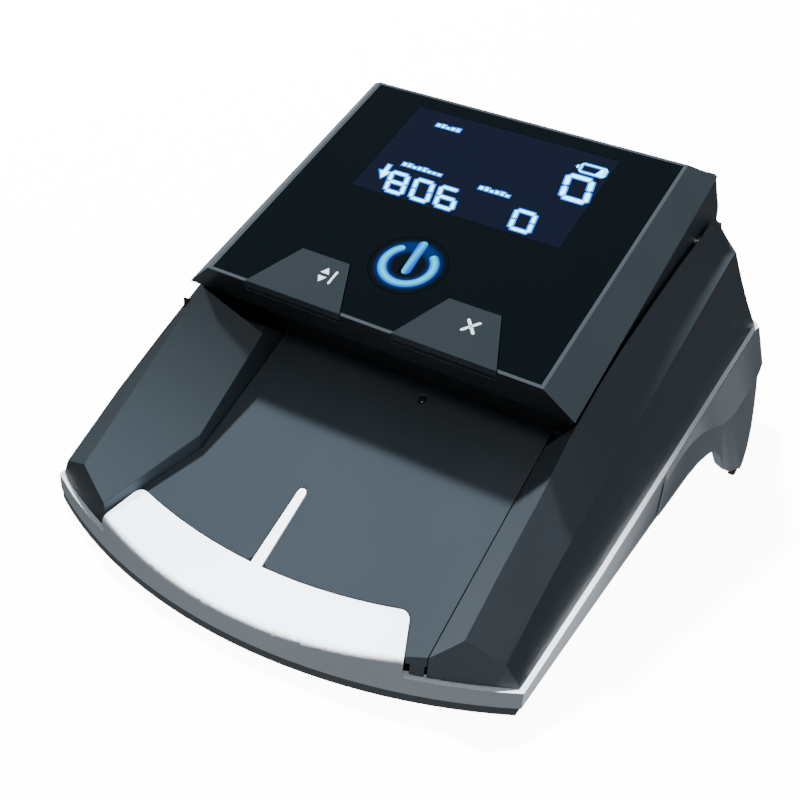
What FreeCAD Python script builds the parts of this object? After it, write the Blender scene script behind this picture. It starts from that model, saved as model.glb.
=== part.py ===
"""Counterfeit bill detector: a wedge-shaped counter-top unit with a sloping feed tray, a
tilted display head that lifts on a rear hinge, and a silver base standing on side legs.

Millimetres.  +X is the operator's right, +Y is away from the operator, +Z is up.
The origin is under the middle of the bounding box, on the surface the unit stands on.
Each separate piece is one STEP file in parts/, named after the piece.
"""
import FreeCAD
import Part
import math
import os

V = FreeCAD.Vector

# ---------------------------------------------------------------- driving dimensions
HALF_DEPTH = 83.5          # the front lip and the rear wall both end here
CORNER_Y = -66.4           # line through the two front corners
BASE_HALF_W = 65.2         # silver base, outside, at the rear
BASE_TAPER = 0.8           # the base is this much narrower per side at the front
PLATE_TAPER = 1.5          # and the bottom plate this much
FOOT_H = 1.0               # rubber feet below the bottom plate
PLATE_TOP = 3.2            # top of the bottom plate
WALL = 2.2                 # moulded wall thickness
SEAM = 0.2                 # gap between neighbouring mouldings
RISE = 0.25                # how far a key stands above the display panel

FRONT_ARC_R = 128.4        # plan radius of the front lip
BAND_INNER_R = 148.4       # plan radius of the tray side of the silver band
BAND_INNER_CY = 76.4
BAND_HALF_W = 41.0         # band, at its front edge

TRAY_SLOPE = math.tan(math.radians(27.5))
TRAY_Z = 17.6              # tray height at the corner line
TRAY_RIGHT_X = 45.25
SLOT_Y = -21.0             # the feed tray ends here and the bills go under the head

PANEL_TILT = 19.06         # degrees
PANEL_FRONT = V(0, -30.1, 57.5)
PANEL_HALF_W = 44.0
PANEL_LEN = 79.4
PANEL_T = 1.2

HINGE_Y = 52.0
HINGE_Z = 61.5
HINGE_PIN_R = 2.0
HEAD_HALF_W = 50.4
HEAD_BARREL_R = 12.9
COVER_INNER_X = 51.7       # the side covers' walls beside the head

SHAFT_R = 2.5
DRIVE_ROLLER_R = 7.0
IDLER_R = 4.5
IDLER_SHAFT_R = 1.5
PULLEY_R = 5.5
MOTOR_PULLEY_R = 4.0
FIT = 0.05                 # radial clearance of a shaft in its bush
ROLLER_PROUD = 0.3         # roller above the bill bed
ROLLER_GAP = 0.3           # between a drive roller and its idler
BILL_GAP = 1.5             # height of the bill path
ROLLER_X = (-8.0, 26.0)    # middles of the two rollers on each shaft
ROLLER_W = 12.0
FRAME_X = (-46.0, 48.0)    # inner left edge of each side frame
FRAME_T = 1.5

SCREW_AT = ((-56, -50), (56, -50), (-56, 20), (56, 20), (-54, 58), (54, 58))

# Side profiles, as (y, z) stations from front to rear
COVER_SIDE = [(-77, 63.2), (90, 64.1)]                       # (y, x)
PARTING = [(-90, 7.7), (-66.4, 7.7), (-26, 11.9), (81, 28.7), (90, 30.0)]
INNER_EDGE = [(-77, 16.6), (-57.4, 28.4), (-41, 37.0), (-25.8, 47.2), (-14, 52.5),
              (-3.6, 55.8), (13.6, 59.8), (32.3, 63.6), (54.7, 67.1), (90, 71.0)]
RIDGE = [(-77, 9.3), (-64, 16.5), (-48, 25.2), (-31, 33.3), (-14, 40.9),
         (13.2, 51.7), (45, 63.2), (90, 68.0)]
BILL_BED = [(-21, 41.2), (4, 52.5), (30, 57.0), (48, 56.2), (70, 48.2)]
WING_INNER = [(-77, -41.6), (-54.3, -29.4), (-31, -28.3)]     # (y, x)
WING_OUTER = [(-77, -49.6), (-31, -46.5)]                     # (y, x)
WING_END_Y = -31.0
RIB_TIP_Y = -54.6            # the centre rib: middle of its round tip, half widths
RIB_TIP_W = 1.05
RIB_ROOT_W = 1.45
LENS_AT = (13.5, -25.0)
LENS_R = 1.1
EXIT_Z = (47.0, 52.4)
BED_END_Y = 66.0
REAR_FACE = [(67.3, 62.3), (83.2, 30.2)]

os.makedirs("parts", exist_ok=True)


# ---------------------------------------------------------------- helpers
def save(name, shape):
    shape.exportStep("parts/" + name + ".step")


def interp(line, at):
    """Straight-line value along a list of (station, value) pairs."""
    for (a, va), (b, vb) in zip(line, line[1:]):
        if at <= b or (b, vb) == line[-1]:
            return va + (vb - va) * (at - a) / (b - a)
    return line[0][1]


def tray_z(y):
    return TRAY_Z + TRAY_SLOPE * (y - CORNER_Y)


def bed_z(y):
    return interp(BILL_BED, y)


def bed_normal(y):
    slope = bed_z(y + 0.5) - bed_z(y - 0.5)
    length = math.hypot(1.0, slope)
    return (-slope / length, 1.0 / length)


def wing_z(x, y):
    """The guide wing's top face is one plane, higher to the rear and to the outside."""
    return 57.8 - 0.376 * x + 0.765 * y


def box(x0, x1, y0, y1, z0, z1):
    return Part.makeBox(x1 - x0, y1 - y0, z1 - z0, V(x0, y0, z0))


def cyl_x(y, z, r, x0, x1):
    return Part.makeCylinder(r, x1 - x0, V(x0, y, z), V(1, 0, 0))


def cyl_z(x, y, r, z0, z1):
    return Part.makeCylinder(r, z1 - z0, V(x, y, z0), V(0, 0, 1))


def prism_x(points, x0, x1):
    """A (y, z) polygon carried from x0 to x1."""
    corners = [V(x0, y, z) for y, z in points]
    face = Part.Face(Part.makePolygon(corners + corners[:1]))
    return face.extrude(V(x1 - x0, 0, 0))


def prism_z(points, z0, z1):
    """An (x, y) polygon carried from z0 to z1."""
    corners = [V(x, y, z0) for x, y in points]
    face = Part.Face(Part.makePolygon(corners + corners[:1]))
    return face.extrude(V(0, 0, z1 - z0))


def loft_y(sections):
    """A solid ruled through (y, [(x, z), ...]) sections."""
    wires = []
    for y, points in sections:
        corners = [V(x, y, z) for x, z in points]
        wires.append(Part.makePolygon(corners + corners[:1]))
    return Part.makeLoft(wires, True, True)


def loft_x(sections):
    """A solid ruled through (x, [(y, z), ...]) sections."""
    wires = []
    for x, points in sections:
        corners = [V(x, y, z) for y, z in points]
        wires.append(Part.makePolygon(corners + corners[:1]))
    return Part.makeLoft(wires, True, True)


def polyhedron(points, faces):
    sides = []
    for face in faces:
        corners = [points[i] for i in face]
        sides.append(Part.Face(Part.makePolygon(corners + corners[:1])))
    solid = Part.makeSolid(Part.makeShell(sides))
    if solid.Volume < 0:
        solid.reverse()
    return solid


def mirrored(shape):
    return shape.mirror(V(0, 0, 0), V(1, 0, 0))


def fused(shapes):
    first, rest = shapes[0], shapes[1:]
    return first.fuse(rest).removeSplitter() if rest else first


def group(shapes):
    return Part.makeCompound(shapes)


def below_line(line, x0, x1, floor, lift=0.0):
    """Everything from floor up to a (y, z) profile."""
    top = [(y, z + lift) for y, z in line]
    return prism_x([(line[0][0], floor)] + top + [(line[-1][0], floor)], x0, x1)


def on_panel(shape):
    """Carry a shape from the panel's own axes (x, up the panel, out of it) into place."""
    placed = shape.copy()
    placed.Placement = FreeCAD.Placement(PANEL_FRONT, FreeCAD.Rotation(V(1, 0, 0), PANEL_TILT))
    return placed


def panel_point(x, along, out):
    return PANEL_FRONT + FreeCAD.Rotation(V(1, 0, 0), PANEL_TILT).multVec(V(x, along, out))


# ---------------------------------------------------------------- base
def plan_outline(half_w, inset, taper):
    """Closed plan outline: front arc, sides that widen rearward, rounded rear corners."""
    front = -HALF_DEPTH + inset
    rear = HALF_DEPTH - inset
    radius = FRONT_ARC_R - inset
    centre = front + radius
    front_w = half_w - taper
    corner_y = centre - math.sqrt(radius ** 2 - front_w ** 2)
    r = 3.0 - inset / 2
    cut = r * (1 - math.sqrt(0.5))
    edges = [
        Part.Arc(V(-front_w, corner_y, 0), V(0, front, 0), V(front_w, corner_y, 0)).toShape(),
        Part.makeLine(V(front_w, corner_y, 0), V(half_w, rear - r, 0)),
        Part.Arc(V(half_w, rear - r, 0), V(half_w - cut, rear - cut, 0), V(half_w - r, rear, 0)).toShape(),
        Part.makeLine(V(half_w - r, rear, 0), V(r - half_w, rear, 0)),
        Part.Arc(V(r - half_w, rear, 0), V(cut - half_w, rear - cut, 0), V(-half_w, rear - r, 0)).toShape(),
        Part.makeLine(V(-half_w, rear - r, 0), V(-front_w, corner_y, 0)),
    ]
    return Part.Face(Part.Wire(edges))


def plan_block(half_w, inset, z0, z1, taper=BASE_TAPER):
    block = plan_outline(half_w, inset, taper)
    block.translate(V(0, 0, z0))
    return block.extrude(V(0, 0, z1 - z0))


def under_tray_plane(x0, x1, y0, y1, drop, floor):
    """Wedge below the tray plane, lowered by drop."""
    return prism_x([(y0, floor), (y0, tray_z(y0) - drop), (y1, tray_z(y1) - drop), (y1, floor)], x0, x1)


def on_tray_plane(edge):
    return all(abs(v.Z - tray_z(v.Y)) < 0.01 for v in edge.Vertexes)


def band_zone(inset, drop, floor):
    """Space taken by the silver band that closes the tray's front edge, open to the front."""
    slant = 4.4
    rear_half = BAND_HALF_W - slant
    ends = prism_z([(-BAND_HALF_W, -78), (-BAND_HALF_W, -90), (BAND_HALF_W + 0.6, -90),
                    (BAND_HALF_W + 0.6, -78), (rear_half, -66.5), (0.6 - rear_half, -66.5)], floor, 30)
    block = ends.cut(cyl_z(0, BAND_INNER_CY, BAND_INNER_R + inset, floor, 30))
    if not inset:
        corners = [e for e in block.Edges if abs(e.BoundBox.ZLength - 30 + floor) < 0.01 and e.BoundBox.YMin > -72
                   and abs(e.BoundBox.XMin) > 20]
        block = block.makeFillet(2.5, corners)
    return block.common(under_tray_plane(-60, 60, -95, -60, drop, floor))


def rib_plan(grow, z0):
    """Upright block with the plan shape of the tray's centre rib, its tip rounded."""
    tip = RIB_TIP_W + grow
    body = prism_z([(-RIB_ROOT_W - grow, -76), (RIB_ROOT_W + grow, -76), (tip, RIB_TIP_Y), (-tip, RIB_TIP_Y)], z0, 60)
    return body.fuse(cyl_z(0, RIB_TIP_Y, tip, z0, 60))


def base_housing():
    """Silver lower shell: front lip with its band and centre rib, side walls and rear wall."""
    outer = plan_block(BASE_HALF_W, 0, PLATE_TOP, 40)
    outer = outer.common(fused([below_line(PARTING, -80, 80, 0), band_zone(0, 0, 0)]))
    lip = [e for e in outer.Edges if on_tray_plane(e) and e.Length > 60
           and e.valueAt((e.FirstParameter + e.LastParameter) / 2).y < -80]
    outer = outer.makeFillet(2.4, lip)
    inner = plan_block(BASE_HALF_W - WALL, WALL, 0, 60)
    under_band = band_zone(WALL, WALL, -1)
    inner = inner.cut(band_zone(-0.5, -8, -2)).fuse(inner.common(under_band))
    rib = rib_plan(0, 0).common(under_tray_plane(-5, 5, -78, -50, 0, 0))
    rib = rib.cut(under_tray_plane(-5, 5, -78, -50, WALL, 0))
    housing = fused([outer.cut(inner), rib])
    housing = housing.cut(box(-46.5, -33.5, 78, 90, 8.0, 20.0))
    return housing.cut(box(35.5, 48.5, 78, 90, 8.0, 15.0))


def base_x(y):
    return BASE_HALF_W - BASE_TAPER * (80.5 - y) / 146.7


LEG_ROWS = (   # y, crease (x, z), lower edge (x, z), wall
    (12.0, (65.5, 15.6), (65.5, 4.2), 0.40),
    (22.0, (65.6, 17.6), (65.8, 4.6), 0.60),
    (29.0, (66.1, 18.4), (66.6, 6.9), 1.10),
    (34.0, (66.8, 18.3), (67.6, 8.9), 1.60),
    (38.0, (67.4, 17.5), (68.7, 9.9), 2.00),
    (41.5, (68.0, 16.5), (69.6, 9.7), 2.20),
    (44.0, (68.6, 16.0), (70.7, 7.0), 2.30),
    (45.4, (69.0, 15.7), (71.9, 3.2), 2.30),
    (47.0, (69.4, 15.5), (73.9, FOOT_H), 2.40),
    (50.6, (69.9, 15.5), (75.9, FOOT_H), 2.40),
    (53.5, (70.2, 15.8), (75.7, 1.9), 2.40),
    (57.5, (70.3, 16.3), (75.1, 4.4), 2.40),
    (62.0, (70.3, 16.8), (74.0, 8.2), 2.30),
    (68.0, (70.1, 16.9), (72.1, 12.9), 2.20),
    (73.0, (69.8, 16.7), (70.6, 14.9), 2.00),
    (76.6, (69.5, 16.5), (69.6, 15.5), 2.00),
    (78.6, (69.3, 16.6), (69.3, 14.6), 2.00),
    (82.6, (69.0, 16.9), (68.9, 14.2), 2.00),
)


def leg_fairing():
    """Right leg: a fender that leaves the base wall, widens rearward and drops to the ground."""
    sections = []
    for y, (cx, cz), (ex, ez), wall in LEG_ROWS:
        x = base_x(y) + 0.02
        top = interp(PARTING, y) - 0.5
        sections.append((y, [
            (x, top), (cx, cz), (ex, ez), (max(ex - wall, x + 0.02), ez + 0.05),
            (max(cx - wall, x + 0.02), cz - 2.2), (x, (top + cz) / 2 - 1.0)]))
    return loft_y(sections)


def bottom_plate():
    plate = plan_block(BASE_HALF_W - 0.2, 0.1, FOOT_H, PLATE_TOP, PLATE_TAPER)
    rails = [box(side * 34.5 + 1 - 1.5, side * 34.5 + 1 + 1.5, 26, 80, PLATE_TOP - 1.0, PLATE_TOP + 2)
             for side in (-1, 1)]
    holes = []
    for x, y in SCREW_AT:
        holes += [cyl_z(x, y, 2.7, 0, FOOT_H + 1.2), cyl_z(x, y, 1.4, 0, 6)]
    return fused([plate] + rails).cut([box(-32, 34, 26, 90, 0, 9)] + holes)


def battery_cover():
    cover = box(-31.7, 33.7, 26.3, HALF_DEPTH - 0.3, FOOT_H, FOOT_H + 1.9)
    grips = [box(-12, 14, y, y + 1.2, FOOT_H - 0.1, FOOT_H + 0.5) for y in (70, 73, 76)]
    return cover.cut(grips[0]).cut(grips[1]).cut(grips[2])


def rubber_feet():
    pads = [cyl_z(x, y, 5.0, 0, FOOT_H) for x, y in ((-46, -62), (46, -62), (-50, 70), (50, 70))]
    right = box(73.4, 75.2, 47.4, 50.4, 0, FOOT_H)
    return group(pads + [right, mirrored(right)])


# ---------------------------------------------------------------- covers
def rear_cutter(shift):
    """Space behind the sloping rear end of the right cover, which turns in at the corner."""
    top, low = 110.0, 28.2
    near = [(83.5 - 0.60 * (top - low) - shift, top), (83.5 - shift, low), (83.5 - shift, 0), (150, 0), (150, top)]
    far = [(82.0 - 1.117 * (top - low) - shift, top), (82.0 - shift, low), (82.0 - shift, 0), (150, 0), (150, top)]
    return loft_x([(50.0, near), (66.0, far)])


SHOULDER_Y = -25.0           # the rail beside the tray ends under the head here


def cover_x(y):
    return interp(COVER_SIDE, y)


def ridge_x(y):
    return interp([(-77, 59.6), (-10, 60.8), (90, 61.0)], y)


def side_section(y, inner_x, inner_top, inset):
    """Right cover's cross-section; inset is the wall for the hollow, 0 for the outside."""
    low = interp(PARTING, y) + SEAM - (3.0 if inset else 0.0)
    edge_z = interp(INNER_EDGE, y)
    return [(inner_x + inset, low), (inner_x + inset, inner_top - 1.25 * inset),
            (COVER_INNER_X + 0.55 * inset + 0.02, edge_z - 1.25 * inset),
            (ridge_x(y) - 0.75 * inset, interp(RIDGE, y) - 0.6 * inset), (cover_x(y) - inset, low)]


def front_cutter(shift):
    """Space ahead of the covers' upright front faces."""
    keep = plan_block(BASE_HALF_W + 5, 1.1 + shift, -5, 120)
    return box(-90, 90, -110, 0, -4, 110).cut(keep)


def right_front(inset):
    stations = (-77, -64, -57.4, -48, -41, -31, SHOULDER_Y - inset)
    sections = [(y, side_section(y, TRAY_RIGHT_X + SEAM, tray_z(y), inset)) for y in stations]
    return loft_y(sections)


def side_rear(start, inset):
    stations = [start + inset, -14, -3.6, 13.2, 32.3, 45, 54.7, 84]
    sections = []
    for y in stations:
        section = side_section(y, COVER_INNER_X, interp(INNER_EDGE, y) - 0.4, inset)
        sections.append((y, section))
    return loft_y(sections)


def pin_hole():
    return cyl_x(HINGE_Y, HINGE_Z, HINGE_PIN_R, COVER_INNER_X - 1, COVER_INNER_X + WALL)


def pin_boss():
    return cyl_x(HINGE_Y - 1.5, HINGE_Z - 1.5, 4.0, COVER_INNER_X + 0.6, COVER_INNER_X + WALL + 1.6)


def right_cover():
    """Right side cover: sloping rail beside the tray, then the wall beside the head."""
    front = right_front(0).cut(front_cutter(0))
    front = front.cut(right_front(WALL).cut(front_cutter(WALL)))
    rear = side_rear(SHOULDER_Y, 0).cut(rear_cutter(0))
    rear = rear.cut(side_rear(SHOULDER_Y, WALL).cut(rear_cutter(WALL)))
    return fused([front, rear, pin_boss()]).cut(pin_hole())


def wing_section(y, inset):
    low = interp(PARTING, y) + SEAM - (3.0 if inset else 0.0)
    xi = interp(WING_INNER, y) - inset
    xo = interp(WING_OUTER, y)
    drop = 1.3 * inset
    return [(xi, low), (xi, wing_z(xi, y) - drop), (xo, wing_z(xo, y) - drop),
            (-ridge_x(y) + 0.75 * inset, interp(RIDGE, y) - 0.6 * inset), (-cover_x(y) + inset, low)]


def wing_front(inset):
    stations = (-77, -64, -54.3, -48, -40, WING_END_Y - inset)
    return loft_y([(y, wing_section(y, inset)) for y in stations])


def shoulder(inset):
    """Low part of the left cover that carries on the tray's left wall under the head."""
    rows = ((WING_END_Y + inset, 46.6), (-23.0 - inset, 41.4))
    sections = []
    for y, top in rows:
        low = interp(PARTING, y) + SEAM - (3.0 if inset else 0.0)
        x_in = -28.3 - inset
        x_out = -COVER_INNER_X - 1.0 + inset
        sections.append((y, [(x_in, low), (x_in, top - inset), (x_out, top - inset), (x_out, low)]))
    return loft_y(sections)


def left_cover():
    """Left side cover: the guide wing beside the tray, then the wall beside the head."""
    front = wing_front(0).cut(front_cutter(0))
    front = front.cut(wing_front(WALL).cut(front_cutter(WALL)))
    rear = side_rear(WING_END_Y, 0).cut(rear_cutter(0))
    rear = rear.cut(side_rear(WING_END_Y, WALL).cut(rear_cutter(WALL)))
    low = shoulder(0).cut(shoulder(WALL))
    right_hand = fused([rear, pin_boss()]).cut(pin_hole())
    return fused([front, mirrored(right_hand), low])


def rear_cover():
    """Bent rear wall between the side covers, with the slot the bills leave by."""
    inner = [(y - 2.0, z - 0.8) for y, z in REAR_FACE]
    edge = COVER_INNER_X - 0.3
    wall = prism_x(REAR_FACE + inner[::-1], -edge, edge)
    cheek = prism_x(REAR_FACE + [(78.0, 29.6), (64.5, 49.5), (64.9, 54.0), (66.2, 59.0)], edge - 1.6, edge)
    slot = box(-30, 47, 64, 84, EXIT_Z[0], EXIT_Z[1])
    return fused([wall, cheek, mirrored(cheek)]).cut(slot)


def hinge_pins():
    pin = cyl_x(HINGE_Y, HINGE_Z, HINGE_PIN_R, HEAD_HALF_W - 3.4, COVER_INNER_X + WALL)
    return group([pin, mirrored(pin)])


# ---------------------------------------------------------------- tray and bill bed
def is_upright(edge):
    return edge.BoundBox.XLength + edge.BoundBox.YLength < 0.02 and edge.BoundBox.ZLength > 0.5


def feed_tray():
    """Sloping tray, cut out round the band's end and the centre rib."""
    t = 2.0
    outline = [(-40.8, -76.2), (-28.9, -54.2), (-28.0, -31), (-28.0, SLOT_Y - SEAM), (TRAY_RIGHT_X, SLOT_Y - SEAM),
               (TRAY_RIGHT_X, -77.5), (40.0, -79)]
    slab = prism_x([(-82, tray_z(-82) - t), (-82, tray_z(-82)), (0, tray_z(0)), (0, tray_z(0) - t)], -60, 60)
    plate = slab.common(prism_z(outline, 0, 60))
    band = plan_block(BASE_HALF_W, 0, -5, 60).common(
        prism_z([(-50, -66), (-50, -95), (BAND_HALF_W + 0.85, -95), (BAND_HALF_W + 0.85, -78),
                 (BAND_HALF_W - 4.28, -66.2)], -5, 60))
    band = band.cut(cyl_z(0, BAND_INNER_CY, BAND_INNER_R - SEAM, -5, 60))
    corner = [e for e in band.Edges if is_upright(e) and e.BoundBox.XMin > 30 and -69 < e.BoundBox.YMin < -66]
    band = band.makeFillet(2.7, corner)
    plate = plate.cut(band)
    plate = plate.cut(rib_plan(SEAM + 0.05, 0))
    nose = [e for e in plate.Edges if is_upright(e) and abs(e.BoundBox.XMin) < 3 and e.BoundBox.YMin < -70]
    plate = plate.makeFillet(1.4, nose)
    apron = prism_z([(BAND_HALF_W + 0.85, -72), (TRAY_RIGHT_X, -72), (TRAY_RIGHT_X, -80),
                     (BAND_HALF_W + 0.85, -80)], 8.0, 30)
    apron = apron.common(under_tray_plane(-60, 60, -90, -60, 0, 0)).cut(front_cutter(0))
    apron = apron.cut(box(30, 60, -74.2, -60, 0, tray_z(-74.2) - t - 0.6))
    return fused([plate, apron]).cut(front_cutter(0)).cut(cyl_z(*LENS_AT, LENS_R, 30, 50))


def entry_lens():
    x, y = LENS_AT
    ball = Part.makeSphere(1.5, V(x, y, tray_z(y) - 1.35))
    return ball.common(cyl_z(x, y, LENS_R - 0.05, tray_z(y) - 2.4, tray_z(y) + 2))


def strip_along_bed(x0, x1, y0, y1, top, bottom):
    """A strip following the bill bed between two stations; top and bottom are offsets."""
    ys = [y0] + [y for y, _ in BILL_BED if y0 < y < y1] + [y1]
    upper = [(y, bed_z(y) + top) for y in ys]
    lower = [(y, bed_z(y) + bottom) for y in ys]
    return prism_x(upper + lower[::-1], x0, x1)


SENSOR_Y = (10.0, 20.0)
SENSOR_X = (-27.0, 44.0)
MAG_Y = (27.0, 32.0)
MAG_X = (2.0, 16.0)
DRIVE_AT = (-6.0, 44.0)     # stations of the two roller pairs along the bed


def roller_windows(radius, z0, z1):
    cuts = []
    for y in DRIVE_AT:
        for x in ROLLER_X:
            half = ROLLER_W / 2 + 0.8
            cuts.append(box(x - half, x + half, y - radius - 2.2, y + radius + 3.2, z0, z1))
    return cuts


def lower_guide():
    bed = strip_along_bed(-32, 47.6, SLOT_Y, BED_END_Y, 0, -1.5)
    sensor = box(*SENSOR_X, *SENSOR_Y, 40, 60)
    magnet = box(*MAG_X, *MAG_Y, 40, 60)
    return bed.cut([sensor, magnet] + roller_windows(5.6, 30, 60))


def sensor_bar(low, high):
    return strip_along_bed(SENSOR_X[0] + 0.2, SENSOR_X[1] - 0.2, SENSOR_Y[0] + 0.2, SENSOR_Y[1] - 0.2, high, low)


def magnetic_head():
    block = strip_along_bed(MAG_X[0] + 0.2, MAG_X[1] - 0.2, MAG_Y[0] + 0.2, MAG_Y[1] - 0.2, 0.0, -7.0)
    return block


# ---------------------------------------------------------------- drive
def shaft_centre(y, below):
    ny, nz = bed_normal(y)
    return (y - ny * below, bed_z(y) - nz * below)


DRIVE_CENTRES = [shaft_centre(y, DRIVE_ROLLER_R - ROLLER_PROUD) for y in DRIVE_AT]
IDLER_CENTRES = [shaft_centre(y, -(ROLLER_PROUD + ROLLER_GAP + IDLER_R)) for y in DRIVE_AT]
MOTOR_CENTRE = (20.0, 33.0)
PULLEY_X = (-41.0, -36.0)


def drive_shaft(centre):
    y, z = centre
    shaft = cyl_x(y, z, SHAFT_R, FRAME_X[0] - 1.4, FRAME_X[1] + FRAME_T + 1.2)
    flat = box(FRAME_X[1] + FRAME_T + 0.2, 60, y - 5, y + 5, z + SHAFT_R - 0.6, z + 5)
    return shaft.cut(flat)


def rollers(centre, radius, bore):
    y, z = centre
    tyres = []
    for x in ROLLER_X:
        tyre = cyl_x(y, z, radius, x - ROLLER_W / 2, x + ROLLER_W / 2)
        tyre = tyre.cut(cyl_x(y, z, bore, x - ROLLER_W, x + ROLLER_W))
        tyres.append(tyre)
    return group(tyres)


def pulley(centre, radius, bore):
    """Timing pulley with two flanges."""
    y, z = centre
    x0, x1 = PULLEY_X
    body = fused([cyl_x(y, z, radius, x0, x1), cyl_x(y, z, radius + 0.9, x0 - 0.8, x0),
                  cyl_x(y, z, radius + 0.9, x1, x1 + 0.8)])
    return body.cut(cyl_x(y, z, bore, x0 - 5, x1 + 5))


def belt_outline(extra):
    """Convex loop of straight runs and arcs round the three pulleys."""
    circles = [(DRIVE_CENTRES[0], PULLEY_R + extra), (MOTOR_CENTRE, MOTOR_PULLEY_R + extra),
               (DRIVE_CENTRES[1], PULLEY_R + extra)]
    count = len(circles)
    tangents = []
    for i in range(count):
        (ya, za), ra = circles[i]
        (yb, zb), rb = circles[(i + 1) % count]
        length = math.hypot(yb - ya, zb - za)
        heading = math.atan2(zb - za, yb - ya)
        normal = heading - math.acos((ra - rb) / length)
        out = (math.cos(normal), math.sin(normal))
        tangents.append((V(PULLEY_X[0], ya + ra * out[0], za + ra * out[1]),
                         V(PULLEY_X[0], yb + rb * out[0], zb + rb * out[1]), normal))
    edges = []
    for i in range(count):
        start, end, normal = tangents[i]
        edges.append(Part.makeLine(start, end))
        (yc, zc), rc = circles[(i + 1) % count]
        following = tangents[(i + 1) % count]
        turn = (following[2] - normal) % (2 * math.pi)
        middle = normal + turn / 2
        mid = V(PULLEY_X[0], yc + rc * math.cos(middle), zc + rc * math.sin(middle))
        edges.append(Part.Arc(end, mid, following[0]).toShape())
    return Part.Face(Part.Wire(edges))


def drive_belt():
    width = V(PULLEY_X[1] - PULLEY_X[0] - 0.6, 0, 0)
    outer = belt_outline(1.35).extrude(width)
    inner = belt_outline(0.3).extrude(width)
    belt = outer.cut(inner)
    belt.translate(V(0.3, 0, 0))
    return belt


def frame_outline():
    top = [(y, bed_z(y) - 2.0) for y in (-17, 4, 30, 48, 62)]
    return top + [(62, 24), (58, PLATE_TOP), (-14, PLATE_TOP)]


def side_frame(x):
    plate = prism_x(frame_outline(), x, x + FRAME_T)
    holes = [cyl_x(y, z, SHAFT_R + 1.5, x - 1, x + 3) for y, z in DRIVE_CENTRES]
    foot = box(x - 5, x + FRAME_T, 9, 54, PLATE_TOP, PLATE_TOP + 1.5) if x > 0 else \
        box(x, x + 6, 9, 24, PLATE_TOP, PLATE_TOP + 1.5)
    plate = fused([plate, foot]).cut(holes)
    window = prism_x([(-2, 14), (12, 14), (12, 22), (-2, 22)], x - 1, x + 3)
    if x < 0:
        window = window.fuse(cyl_x(*MOTOR_CENTRE, 3.2, x - 1, x + 3))
    return plate.cut(window)


def shaft_bushes():
    rings = []
    for x in FRAME_X:
        for y, z in DRIVE_CENTRES:
            ring = fused([cyl_x(y, z, SHAFT_R + 1.5, x, x + FRAME_T),
                          cyl_x(y, z, SHAFT_R + 2.4, x + FRAME_T, x + FRAME_T + 0.8) if x < 0 else
                          cyl_x(y, z, SHAFT_R + 2.4, x - 0.8, x)])
            rings.append(ring.cut(cyl_x(y, z, SHAFT_R + FIT, x - 3, x + 5)))
    return group(rings)


def motor_body():
    y, z = MOTOR_CENTRE
    can = cyl_x(y, z, 11.0, -32.0, 2.0)
    nose = cyl_x(y, z, 4.0, -33.6, -32.0)
    tail = cyl_x(y, z, 3.4, 2.0, 3.6)
    mount = prism_x([(y - 12, z - 12), (y + 12, z - 12), (y + 12, z + 11), (y - 12, z + 11)], -34.8, -33.6)
    foot = box(-34.8, -33.6, y - 6, y + 6, PLATE_TOP, z - 12)
    bore = cyl_x(y, z, 1.5 + FIT, -36, 10)
    return fused([can, nose, tail, mount, foot]).cut(bore)


def motor_shaft():
    return cyl_x(*MOTOR_CENTRE, 1.5, PULLEY_X[0] - 1.5, 7.4)


def encoder_disc():
    y, z = MOTOR_CENTRE
    disc = cyl_x(y, z, 9.0, 6.0, 6.8).cut(cyl_x(y, z, 1.5, 4, 8))
    slots = []
    for i in range(16):
        slot = box(4, 8, y - 0.5, y + 0.5, z + 6.2, z + 8.2)
        slot.rotate(V(0, y, z), V(1, 0, 0), 360.0 / 16 * i)
        slots.append(slot)
    return disc.cut(slots)


def encoder_sensor():
    y, z = MOTOR_CENTRE
    body = box(4.2, 8.6, y - 3, y + 3, PLATE_TOP, z - 5.4)
    return body.cut(box(5.5, 7.3, y - 4, y + 4, z - 9.6, z))


# ---------------------------------------------------------------- electronics
def main_board():
    board = box(-43, 46, -47.4, 8, 8.0, 9.6)
    holes = [cyl_z(x, y, 1.4, 7, 11) for x, y in ((-39, -40), (42, -40), (-39, 4), (42, 4))]
    return board.cut(holes)


def board_posts():
    posts = []
    for x, y in ((-39, -40), (42, -40), (-39, 4), (42, 4)):
        posts.append(fused([cyl_z(x, y, 3.0, PLATE_TOP, 8.0), cyl_z(x, y, 1.3, 8.0, 10.4)]))
    return group(posts)


def main_chips():
    chips = [box(-16, -2, -30, -16, 9.6, 11.4), box(8, 17, -28, -20, 9.6, 11.0),
             box(-34, -26, -20, -8, 9.6, 11.2), box(22, 26, -46, -34, 9.6, 14.0),
             box(-8, 20, 0, 5, 9.6, 15.0), box(-24, -10, -46, -40, 9.6, 14.5)]
    caps = [cyl_z(x, y, 3.0, 9.6, 16.0) for x, y in ((28, -12), (35, -12), (28, -4))]
    return group(chips + caps)


def buzzer():
    return cyl_z(32, -28, 6.5, 9.6, 15.0).cut(cyl_z(32, -28, 1.2, 13.6, 16))


def battery_pack():
    cells = [box(-27, 29, 28.5, 76.5, 3.6, 18.6)]
    return cells[0].makeFillet(2.0, [e for e in cells[0].Edges if abs(e.tangentAt(0).y) > 0.9])


def dc_inlet():
    body = box(-46.3, -33.7, 70.0, HALF_DEPTH - 0.4, 8.2, 19.8)
    return body.cut([Part.makeCylinder(3.2, 11, V(-40, HALF_DEPTH - 10, 14), V(0, 1, 0))])


def dc_pin():
    return Part.makeCylinder(0.8, 9.5, V(-40, HALF_DEPTH - 10, 14), V(0, 1, 0))


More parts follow.
